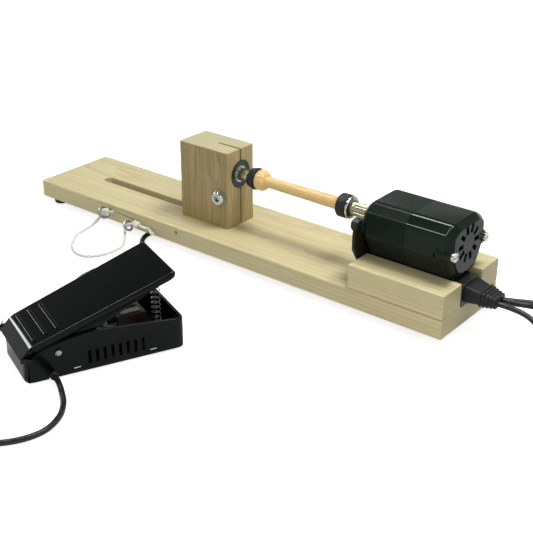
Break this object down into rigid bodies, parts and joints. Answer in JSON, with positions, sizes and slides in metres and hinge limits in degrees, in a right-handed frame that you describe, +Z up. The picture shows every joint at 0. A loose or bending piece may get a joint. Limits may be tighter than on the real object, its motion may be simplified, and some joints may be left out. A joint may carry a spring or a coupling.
{
  "type": "electric bobbin winder",
  "caption": "Weaver's electric bobbin winder: motor, fluted drive hub and bobbin on a wooden board, sliding tail block with bearing, foot pedal and coiled leads.",
  "frame": {"origin": "middle of the footprint of the winder and its pedal, leads left out, on the floor they stand on", "axes": "+X along the board from the tail block to the motor, parallel to the bobbin's axis; +Y from the pedal back to the board; +Z up"},
  "size_m": [0.72, 0.4841, 0.1081],
  "materials": {
    "beech": "planed and waxed",
    "bobbin_wood": "turned and varnished",
    "rubber": "matt moulded rubber",
    "black_paint": "satin stove enamel on steel",
    "gloss_black": "polished moulding",
    "matte_black": "lightly textured moulding",
    "steel": "zinc plated or ground",
    "bright_steel": "bright nickel plate",
    "black_steel": "black oxide",
    "brass": "plain",
    "bronze": "sintered and oiled",
    "copper": "enamelled copper",
    "carbon": "moulded carbon or dark nylon",
    "phenolic": "dull dark red-brown",
    "lead": "smooth flexible sheath",
    "white_cord": "braided cotton"
  },
  "bodies": {
    "base": {"base_board": "beech", "rubber_feet": "rubber", "wood_screws": "steel", "rail_front": "beech", "rail_rear": "beech", "rail_screws": "steel", "eye_screws": "steel", "eye_cord": "white_cord", "motor_bracket": "black_paint", "motor_thumb_screws": "black_steel", "motor_front_shell": "gloss_black", "motor_rear_shell": "gloss_black", "motor_case_screws": "bright_steel", "stator_core": "steel", "stator_coils": "copper", "shaft_bushings": "bronze", "brush_holders": "carbon", "brushes": "carbon", "motor_socket": "matte_black", "plug_block": "matte_black", "plug_relief": "matte_black", "mains_lead": "lead", "mains_coil": "lead", "mains_tie": "rubber", "mains_plug": "matte_black", "plug_blades": "brass", "pedal_lead": "lead", "pedal_coil": "lead", "pedal_tie": "rubber", "pedal_base": "gloss_black", "pedal_bottom": "black_steel", "pedal_feet": "rubber", "pedal_screws": "steel", "hinge_pin": "bright_steel", "pedal_gland": "rubber", "contact_block": "phenolic", "contact_strips": "bright_steel", "return_spring": "bright_steel"},
    "rotor": {"rotor_shaft": "steel", "armature": "steel", "commutator": "copper", "cooling_fan": "carbon", "drive_hub": "bright_steel", "hub_set_screw": "black_steel", "drive_washer": "bright_steel", "drive_ring": "rubber", "bobbin": "bobbin_wood"},
    "tailstock": {"tail_block": "beech", "pinch_screw": "bright_steel", "pinch_fittings": "steel", "bearing_outer": "black_steel", "bearing_shields": "steel", "clamp_stud": "steel"},
    "ball_cage": {"bearing_balls": "bright_steel"},
    "spindle": {"bearing_inner": "bright_steel", "tail_spindle": "steel", "tail_ring": "rubber"},
    "knob": {"clamp_knob": "gloss_black"},
    "pedal_treadle": {"treadle": "gloss_black"},
    "pedal_plunger": {"plunger": "brass"}
  },
  "joints": [
    {"name": "drive_spin", "type": "hinge", "parent": "base", "child": "rotor", "pos_m": [0.12, 0.131, 0.0815], "axis": [1, 0, 0], "continuous": true},
    {"name": "tail_slide", "type": "slide", "parent": "base", "child": "tailstock", "axis": [1, 0, 0], "range_m": [-0.145, 0]},
    {"name": "tail_spin", "type": "hinge", "parent": "tailstock", "child": "spindle", "pos_m": [-0.025, 0.131, 0.0815], "axis": [1, 0, 0], "continuous": true},
    {"name": "cage_spin", "type": "hinge", "parent": "tailstock", "child": "ball_cage", "pos_m": [-0.026, 0.131, 0.0815], "axis": [1, 0, 0], "continuous": true},
    {"name": "knob_turn", "type": "hinge", "parent": "tailstock", "child": "knob", "pos_m": [-0.068, 0.131, 0.01], "axis": [0, 0, 1], "range_deg": [0, 360]},
    {"name": "treadle_press", "type": "hinge", "parent": "base", "child": "pedal_treadle", "pos_m": [-0.00515, -0.14369, 0.025], "axis": [-0.9219, 0.3875, 0], "range_deg": [0, 11], "stiffness_Nm_per_rad": 5, "springref_deg": -5.73, "deforming": ["return_spring"]},
    {"name": "plunger_push", "type": "slide", "parent": "base", "child": "pedal_plunger", "axis": [0, 0, -1], "range_m": [0, 0.0075]}
  ],
  "couplings": [
    {"joint": "tail_spin", "follows": "drive_spin", "ratio": 1},
    {"joint": "cage_spin", "follows": "drive_spin", "ratio": 0.403},
    {"joint": "plunger_push", "follows": "treadle_press", "m_per_rad": 0.037}
  ]
}
